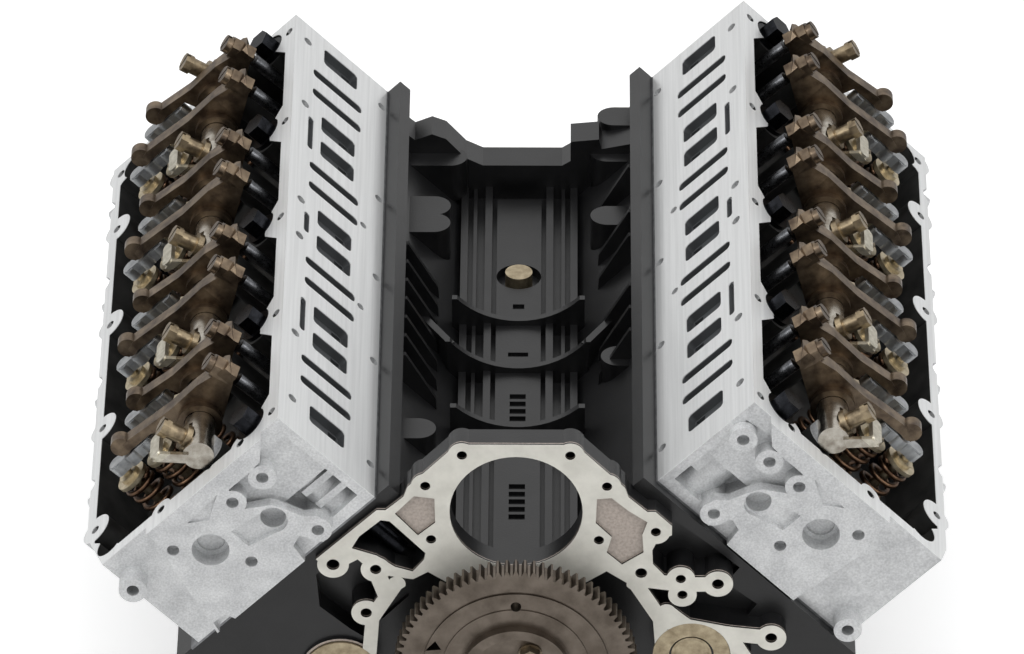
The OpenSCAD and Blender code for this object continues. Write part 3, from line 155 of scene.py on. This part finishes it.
def wander(tree, place, size_mm, dark, light, detail=3.0):
    """A tone that wanders between two colours, in patches about size_mm across."""
    cloud = add(tree, "TexNoise", {"Vector": place, "Scale": MM_IN_METRE / size_mm,
                                   "Detail": detail, "Roughness": 0.55})
    spread = add(tree, "MapRange", {"Value": cloud.outputs["Fac"],
                                    "From Min": CLOUD_LOW, "From Max": CLOUD_HIGH})
    return add(tree, "Mix", {0: spread.outputs[0], 6: linear(dark), 7: linear(light)},
               data_type="RGBA").outputs[2]


def layered(tree, tone, *layers):
    """A tone with others laid over it in turn, each as far as its own mask says, from 0 to 1."""
    for mask, above in layers:
        tone = add(tree, "Mix", {0: mask, 6: tone, 7: above}, data_type="RGBA").outputs[2]
    return tone


def grainy(tree, place, size_mm, strength, depth):
    """The grain of a surface: its height, and a normal that catches the light on it."""
    grain = add(tree, "TexNoise", {"Vector": place, "Scale": MM_IN_METRE / size_mm,
                                   "Detail": 2.0}).outputs["Fac"]
    bump = add(tree, "Bump", {"Height": grain, "Strength": strength, "Distance": depth}).outputs[0]
    return grain, bump


# %% [markdown]
# ## Light and floor
# The photograph is a studio cut-out on white: broad soft light from above and from both sides, with
# the engine's insides left dark. One large panel above the engine, one on each side and an even pale
# sky give that. The sky is white to the camera and to mirrors and grey to the object, so the white
# background adds no light of its own.

# %% Light
SKY_ON_OBJECT = 0.38                        # strength of the sky as a lamp
SKY_SEEN = 1.0                              # and as the white background
LIT_POINT = (0, -0.3, 0.15)                 # metres, the middle of the engine
PANELS = {                                  # place and size in metres, power in watts
    "panel_above": ((0, -0.7, 2.4), (1.8, 1.2), 30),
    "panel_left": ((-2.0, -1.4, 1.3), (1.0, 1.4), 16),
    "panel_right": ((2.0, -1.4, 1.3), (1.0, 1.4), 16),
}


def make_world():
    world = bpy.data.worlds.new("studio")
    bpy.context.scene.world = world
    world.use_nodes = True
    tree = world.node_tree
    tree.nodes.clear()
    rays = add(tree, "LightPath")
    seen = rays.outputs["Is Camera Ray"]
    for ray in ("Is Transmission Ray", "Is Glossy Ray"):
        seen = add(tree, "Math", {0: seen, 1: rays.outputs[ray]}, operation="MAXIMUM").outputs[0]
    limits = {"Value": seen, "To Min": SKY_ON_OBJECT, "To Max": SKY_SEEN}
    strength = add(tree, "MapRange", limits).outputs[0]
    sky = add(tree, "Background", {"Color": (1, 1, 1, 1), "Strength": strength})
    add(tree, "OutputWorld", {"Surface": sky.outputs[0]})


def make_panel(name, place, size, power):
    data = bpy.data.lights.new(name, "AREA")
    data.shape = "RECTANGLE"
    data.size, data.size_y = size
    data.energy = power
    lamp = bpy.data.objects.new(name, data)
    bpy.context.scene.collection.objects.link(lamp)
    lamp.location = place
    lamp.rotation_euler = (Vector(LIT_POINT) - Vector(place)).to_track_quat("-Z", "Y").to_euler()


make_world()
for panel, (place, size, power) in PANELS.items():
    make_panel(panel, place, size, power)
bpy.context.scene.view_settings.view_transform = "Standard"
print("world and", len(PANELS), "panels")

# %% [markdown]
# ## Floor
# The engine stands on white studio paper without an edge. One large grid face is enough for that. It
# glows a little to the camera alone, which keeps it near white and still lets it take a shadow.

# %% Floor
FLOOR_GAP = 0.0005                          # metres below the lowest solid
FLOOR_HALF = 20                             # metres from the middle to an edge
PAPER_GLOW = 0.45


def make_floor(level):
    bm = bmesh.new()
    bmesh.ops.create_grid(bm, x_segments=1, y_segments=1, size=FLOOR_HALF)
    bmesh.ops.translate(bm, verts=bm.verts, vec=(0, 0, level))
    mesh = bpy.data.meshes.new("floor")
    bm.to_mesh(mesh)
    bm.free()
    floor = bpy.data.objects.new("floor", mesh)
    bpy.context.scene.collection.objects.link(floor)
    material, tree, output, _ = new_material("white studio paper")
    rays = add(tree, "LightPath").outputs["Is Camera Ray"]
    paper = add(tree, "BsdfDiffuse", {"Color": linear("#f4f4f4")})
    faint = add(tree, "Math", {0: rays, 1: PAPER_GLOW}, operation="MULTIPLY").outputs[0]
    glow = add(tree, "Emission", {"Color": (1, 1, 1, 1), "Strength": faint})
    both = add(tree, "AddShader", {0: paper.outputs[0], 1: glow.outputs[0]})
    tree.links.new(both.outputs[0], output.inputs["Surface"])
    mesh.materials.append(material)
    floor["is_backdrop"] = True


floor_level = cad_box[0][2] - FLOOR_GAP
make_floor(floor_level)
print("floor at", round(floor_level, 4))

# %% [markdown]
# ## Where a face is machined
# A casting is rough where the mould left it and bright where a cutter has been. The cut faces all lie
# in known planes, so each material asks how far a point is from such a plane. Both banks lean out by
# 45 degrees, so the distance along a bore is the same sum of height and width on the left and right,
# once the width's sign is dropped.

# %% Helpers for machined faces
HALF = math.sqrt(0.5)
RAIL = 0.3275                               # cover rail, along a bore
INTAKE = 0.104                              # intake face, inboard of the bores
BOX_FLOOR = 0.2815                          # floor of the rocker box, along a bore
BOX_FRONT = 0.011                           # its front wall, behind its own bank's front
BOX_INSIDE = (-0.0742, 0.0952)              # its long walls, inboard of the bores
STAGGER = 0.0205                            # the right bank stands this far behind the left
FRONT = -0.572                              # block's front gasket face, along Y
PAST_ALL = 1                                # farther than any point of the engine


def along(tree, place, direction):
    """How far a point lies along a direction, with both banks treated as the right one."""
    bare = add(tree, "VectorMath", {0: place}, operation="ABSOLUTE").outputs[0]
    return add(tree, "VectorMath", {0: bare, 1: direction}, operation="DOT_PRODUCT").outputs["Value"]


def along_bore(tree, place):
    return along(tree, place, (HALF, 0, HALF))


def inboard(tree, place):
    return along(tree, place, (-HALF, 0, HALF))


def within(tree, *limits):
    """1 where every value lies between its own low and high, else 0."""
    mask = 1.0
    for value, low, high in limits:
        middle = {0: value, 1: (low + high) / 2, 2: (high - low) / 2}
        hit = add(tree, "Math", middle, operation="COMPARE")
        mask = add(tree, "Math", {0: mask, 1: hit.outputs[0]}, operation="MULTIPLY").outputs[0]
    return mask


def behind_front(tree, place):
    """Distance behind the front of the point's own bank."""
    parts = add(tree, "SeparateXYZ", {0: place}).outputs
    on_right = add(tree, "Math", {0: parts["X"], 1: 0.0}, operation="GREATER_THAN").outputs[0]
    own_front = add(tree, "MapRange", {"Value": on_right, "To Min": FRONT, "To Max": FRONT + STAGGER})
    return add(tree, "Math", {0: parts["Y"], 1: own_front.outputs[0]}, operation="SUBTRACT").outputs[0]


# %% [markdown]
# ## The heads: cast aluminium, bead-blasted, with milled faces
# The heads are sand castings in an aluminium-silicon alloy, blasted with glass beads, which leaves an
# even, pale, slightly grainy grey. The intake face and the cover rail are then milled. They are
# brighter, with a faint cutter pattern that runs the head's length, and the intake face is smoother
# too. One material does both, mixed by the planes. Inside the rocker box a painted shade, nearly
# black, fills the space between the box's own walls and stands in for the shadow deep in the box.
# The ports are a plain dark grey.

# %% Head casting
CUT = 0.0004                                # how near to a cut plane counts as cut
PORT_HEIGHT = (0.261, 0.309)                # bottom and top of the intake ports, along a bore
PORT_DEPTH = (0.083, 0.1034)                # their inner end and mouth, inboard of the bores
PORT_FRONT = 0.024                          # the first port is farther back than this
GRIT_MM = 1.4                               # real grit is finer, but this much shows in the render
GRIT_SHARE = 0.28                           # how much of the tone the grit gives
CUTTER_LINES = (1, 0.02, 1)                 # the pattern is drawn out 50 times along the head
CAST_ROUGH, MILLED_ROUGH = 0.5, 0.36
# the second metal value is the lower one under the painted shade inside the rocker box
CAST_METAL, BOX_SHADE_METAL = 0.7, 0.15


def head_casting():
    material, tree, output, place = new_material("bead-blasted cast aluminium")
    height = along_bore(tree, place)
    inward = inboard(tree, place)
    behind = behind_front(tree, place)
    rail = within(tree, (height, RAIL - CUT, RAIL + CUT))
    intake = within(tree, (inward, INTAKE - CUT, INTAKE + CUT))
    box = within(tree, (height, BOX_FLOOR - 0.001, RAIL - CUT), (inward, *BOX_INSIDE),
                 (behind, BOX_FRONT - CUT, PAST_ALL))
    port = within(tree, (height, *PORT_HEIGHT), (inward, *PORT_DEPTH), (behind, PORT_FRONT, PAST_ALL))
    _, bump = grainy(tree, place, GRIT_MM, 0.14, 0.0004)
    blasted = wander(tree, place, 18, "#bdbebf", "#dadbdb")
    grit = wander(tree, place, GRIT_MM, "#949597", "#ecedee", 2.0)
    lines = add(tree, "Mapping", {"Vector": place, "Scale": CUTTER_LINES}).outputs[0]
    milled = wander(tree, lines, 2.5, "#d8d9d9", "#e4e5e5", 2.0)
    # painted shade: a nearly black tone inside the rocker box that stands in for its shadow
    painted_box_shade = wander(tree, place, 14, "#101010", "#2a2a29", 4.0)
    colour = layered(tree, blasted, (GRIT_SHARE, grit), (rail, milled), (intake, milled),
                     (port, linear("#5f6163")), (box, painted_box_shade))
    rough = add(tree, "MapRange", {"Value": intake, "To Min": CAST_ROUGH, "To Max": MILLED_ROUGH})
    metal = add(tree, "MapRange", {"Value": box, "To Min": CAST_METAL, "To Max": BOX_SHADE_METAL})
    shader = add(tree, "BsdfPrincipled", {"Base Color": colour, "Roughness": rough.outputs[0],
                                          "Metallic": metal.outputs[0], "Normal": bump})
    tree.links.new(shader.outputs[0], output.inputs["Surface"])
    return material


# %% [markdown]
# ## The block: black-painted iron with a milled front face
# The iron block is painted satin black with its milled front covered, so the front gasket face stays
# bare, in the warm pale grey of freshly cut cast iron. The cutter didn't reach the two shallow recesses
# in it, which show brownish raw iron. Dust and handling give the paint a slight mottle.

# %% Block paint
RECESS = 0.0022                             # depth of the two shallow recesses
FACE_CUT = 0.0003                           # how near to a plane of the front counts as in it
PAINT_ROUGH, IRON_ROUGH = 0.36, 0.5
IRON_METAL = 0.35                           # fresh iron reads as a matt, half-metal grey


def block_paint():
    material, tree, output, place = new_material("satin black paint on cast iron")
    depth = add(tree, "SeparateXYZ", {0: place}).outputs["Y"]
    bare = within(tree, (depth, FRONT - PAST_ALL, FRONT + FACE_CUT))
    recess = within(tree, (depth, FRONT + RECESS - FACE_CUT, FRONT + RECESS + FACE_CUT))
    _, bump = grainy(tree, place, 1.2, 0.15, 0.0005)
    paint = wander(tree, place, 25, "#050506", "#121213", 4.0)
    milled = wander(tree, place, 12, "#cfcdc4", "#dedcd3")
    raw = wander(tree, place, 2, "#a0958c", "#bcb0a6")
    colour = layered(tree, paint, (bare, milled), (recess, raw))
    rough = add(tree, "MapRange", {"Value": bare, "To Min": PAINT_ROUGH, "To Max": IRON_ROUGH})
    metal = add(tree, "Math", {0: bare, 1: IRON_METAL}, operation="MULTIPLY")
    shader = add(tree, "BsdfPrincipled", {"Base Color": colour, "Roughness": rough.outputs[0],
                                          "Metallic": metal.outputs[0], "Normal": bump})
    tree.links.new(shader.outputs[0], output.inputs["Surface"])
    return material


# %% [markdown]
# ## Steels
# The rocker arms, gears, bolts and springs are all steel, and only their surface treatment differs:
# phosphate gives browns, oxide gives black, and a ground shaft is left bright. They share one recipe,
# with a tone that wanders between two colours over a few millimetres and a fine grain.

# %% Steels
ROUGH_SPREAD = 0.06                         # how far the grain moves the roughness up and down


def steel(name, dark, light, rough, spread_mm=6.0, metallic=1.0):
    material, tree, output, place = new_material(name)
    tone = wander(tree, place, spread_mm, dark, light, 4.0)
    grain, bump = grainy(tree, place, 0.8, 0.1, 0.0003)
    worn = add(tree, "MapRange", {"Value": grain, "From Min": 0.3, "From Max": 0.7,
                                  "To Min": rough - ROUGH_SPREAD, "To Max": rough + ROUGH_SPREAD})
    shader = add(tree, "BsdfPrincipled", {"Base Color": tone, "Roughness": worn.outputs[0],
                                          "Metallic": metallic, "Normal": bump})
    tree.links.new(shader.outputs[0], output.inputs["Surface"])
    return material


# %% [markdown]
# ## The rocker shaft and its tabs
# The shaft is ground bright between the rockers. The tabs beside its screws stand above it and are
# plated a pale cream, so the tone changes above a height measured along the bore.

# %% Shaft steel
TAB_FOOT = 0.3525                           # tabs start here, along a bore
GROUND_ROUGH, PLATED_ROUGH = 0.25, 0.42


def shaft_steel():
    material, tree, output, place = new_material("ground shaft steel with plated tabs")
    tab = within(tree, (along_bore(tree, place), TAB_FOOT, PAST_ALL))
    ground = wander(tree, place, 6, "#8d857a", "#b9b4aa", 4.0)
    plated = wander(tree, place, 4, "#aaa596", "#cbc6b8")
    tone = layered(tree, ground, (tab, plated))
    rough = add(tree, "MapRange", {"Value": tab, "To Min": GROUND_ROUGH, "To Max": PLATED_ROUGH})
    shader = add(tree, "BsdfPrincipled", {"Base Color": tone, "Roughness": rough.outputs[0],
                                          "Metallic": 1.0})
    tree.links.new(shader.outputs[0], output.inputs["Surface"])
    return material


# %% [markdown]
# ## Every finish
# Each solid of the part names a slot for its finish, and this table fills the slots. The colours are
# the dark and the light tone of each surface, and the number is its roughness: below 0.35 an edge
# catches a sharp light, and from 0.45 up the surface looks dull and dry.

# %% Every finish, by the part's own slots
finishes = {
    "block_paint": block_paint(),
    "head_casting": head_casting(),
    "shaft_steel": shaft_steel(),
    # the coating on the gasket's steel sheets: an even grey edge between block and head
    "gasket": steel("coated gasket sheet", "#6d6e70", "#8f9092", 0.5),
    # oxide is thin, so the bolts keep a dark shine
    "black_bolts": steel("black oxide steel", "#17181a", "#2b2c30", 0.32),
    # phosphate is a crystal coat that holds oil: yellow to brown, with a soft shine
    "bronze_bolts": steel("yellow-brown phosphated steel", "#6b5f4e", "#a6967b", 0.36),
    "gear_bolts": steel("phosphated bolt steel", "#5e5548", "#8a7e6c", 0.38),
    "gear_steel": steel("brown phosphated gear steel", "#5a524a", "#746b62", 0.38, 14.0),
    "rocker_steel": steel("brown phosphated rocker steel", "#4d4239", "#80715f", 0.34, 9.0),
    "spring_steel": steel("brown phosphated spring wire", "#3c2c22", "#6b5442", 0.4),
    "valve_steel": steel("cream phosphated retainers", "#a0947c", "#c7bba1", 0.4),
    # passivated zinc gives the cup plugs their tan, dull face
    "plug_steel": steel("yellow passivated steel", "#8d8069", "#b5a88e", 0.45),
    # heat has blackened the drawn tube, which stays smooth
    "pushrod_steel": steel("blackened pushrod tube", "#3a3b3d", "#6a6b6e", 0.3),
    # machined and left bare, so these are pale and clear
    "bridge_steel": steel("machined bridge steel", "#8e9092", "#b1b3b4", 0.36),
    "bearing_metal": steel("bearing alloy", "#8f9092", "#a9aaac", 0.35),
    "piston_alloy": steel("turned piston alloy", "#a3a5a6", "#bbbdbe", 0.32),
    "cam_steel": steel("hardened camshaft steel", "#707274", "#8c8e90", 0.32),
    # forged skins with ground journals: a middle grey, duller on the rods
    "crank_steel": steel("forged and ground steel", "#66686a", "#8a8c8e", 0.35, 12.0),
    "rod_steel": steel("forged rod steel", "#5b5d5f", "#77797b", 0.45),
    # unpainted iron is dark and almost matt, and rubber is black and fully so
    "cap_iron": steel("bare cast iron", "#38383a", "#4c4c4e", 0.55, 10.0, 0.8),
    "seal_rubber": steel("moulded rubber", "#1d1d1e", "#2a2a2b", 0.7, metallic=0.0),
}
slots = {entry["node"]: entry["material_slot"] for entry in frame["record"]["subparts"]}
for name, obj in nodes.items():
    obj.data.materials.clear()
    obj.data.materials.append(finishes[slots[name]])
print("materials:", len(finishes))

# %% [markdown]
# ## Valve springs
# A valve spring is one steel wire wound into a helix, with its two end turns laid flat so that it
# stands square. In Blender a helix is a round profile spun about an axis while it climbs, so three
# spins in a row make one spring: a flat turn, the working turns, and another flat turn.

# %% Wind the springs
SPRING_R = 0.012                            # outside radius
WIRE_R = 0.002
WIRE_SIDES = 8
SPRING_FOOT = 0.2818                        # along the bore
SPRING_TOP = 0.3338
SPRING_LENGTH = SPRING_TOP - SPRING_FOOT
WORKING_TURNS = 4.6
STEPS_A_TURN = 18
FLAT_RISE = 2 * WIRE_R * 0.96               # an end turn lies on the next with a little squeeze
CYLINDERS = 4                               # in a bank
FIRST_BORE = 0.0825                         # behind the bank's front
BORE_PITCH = 0.120
SHAFT_IN = 0.038                            # rocker shaft, inboard of the bores
ARM = {"front": 0.054, "rear": 0.0415}      # from the shaft to the bridge, by a cylinder's rocker
ROCKER_AT = {"front": -0.0205, "rear": 0.0205}  # before and behind the bore's centre
VALVE_HALF = 0.014                          # half the distance of the two valves under a bridge


def bank_matrix(side):
    """From a bank's own frame (outboard, rearward, along the bore) to the row frame."""
    turn = Matrix(((side * HALF, 0, side * HALF), (0, 1, 0), (-HALF, 0, HALF))).to_4x4()
    return Matrix.Translation((0, FRONT + (STAGGER if side > 0 else 0), 0)) @ turn


def wind_spring(bm, place):
    """Winds one spring along Z from the origin and sets it in its place."""
    before = set(bm.verts)
    profile = bmesh.ops.create_circle(bm, segments=WIRE_SIDES, radius=WIRE_R)["verts"]
    bmesh.ops.rotate(bm, verts=profile, cent=(0, 0, 0), matrix=Matrix.Rotation(math.pi / 2, 3, "X"))
    bmesh.ops.translate(bm, verts=profile, vec=(SPRING_R - WIRE_R, 0, WIRE_R))
    geom = list({e for v in profile for e in v.link_edges})
    bmesh.ops.contextual_create(bm, geom=geom)
    working_rise = SPRING_LENGTH - 2 * WIRE_R - 2 * FLAT_RISE
    for turns, rise in ((1.0, FLAT_RISE), (WORKING_TURNS, working_rise), (1.0, FLAT_RISE)):
        steps = round(turns * STEPS_A_TURN)
        spun = bmesh.ops.spin(bm, geom=geom, cent=(0, 0, 0), axis=(0, 0, 1),
                              dvec=(0, 0, rise / steps), angle=turns * 2 * math.pi,
                              steps=steps, use_merge=False)
        geom = [g for g in spun["geom_last"] if isinstance(g, bmesh.types.BMEdge)]
    bmesh.ops.contextual_create(bm, geom=geom)
    new = [v for v in bm.verts if v not in before]
    bmesh.ops.transform(bm, matrix=place, verts=new)


def make_springs(side_name, end):
    """The eight springs of one bank's front or rear rockers, wound into one object."""
    side = 1 if side_name == "right" else -1
    bm = bmesh.new()
    for cylinder in range(CYLINDERS):
        rearward = FIRST_BORE + BORE_PITCH * cylinder + ROCKER_AT[end]
        for half in (-VALVE_HALF, VALVE_HALF):
            at = Matrix.Translation((ARM[end] - SHAFT_IN + half, rearward, SPRING_FOOT))
            wind_spring(bm, bank_matrix(side) @ at)
    bmesh.ops.recalc_face_normals(bm, faces=bm.faces)
    mesh = bpy.data.meshes.new(f"coil_springs_{side_name}_{end}")
    bm.to_mesh(mesh)
    bm.free()
    mesh.shade_smooth()
    mesh.materials.append(finishes["spring_steel"])
    obj = bpy.data.objects.new(mesh.name, mesh)
    bpy.context.scene.collection.objects.link(obj)
    node = f"springs_{side_name}_{end}"
    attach(obj, "long_block")
    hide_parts(node)
    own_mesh(obj)
    print(obj.name, "faces", len(mesh.polygons))


for side_name in ("left", "right"):
    for end in ("front", "rear"):
        make_springs(side_name, end)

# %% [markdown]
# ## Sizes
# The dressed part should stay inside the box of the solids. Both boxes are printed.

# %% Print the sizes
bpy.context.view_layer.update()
for label, box in (("solids", cad_box), ("dressed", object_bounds())):
    print(label, [[round(v, 4) for v in corner] for corner in box])
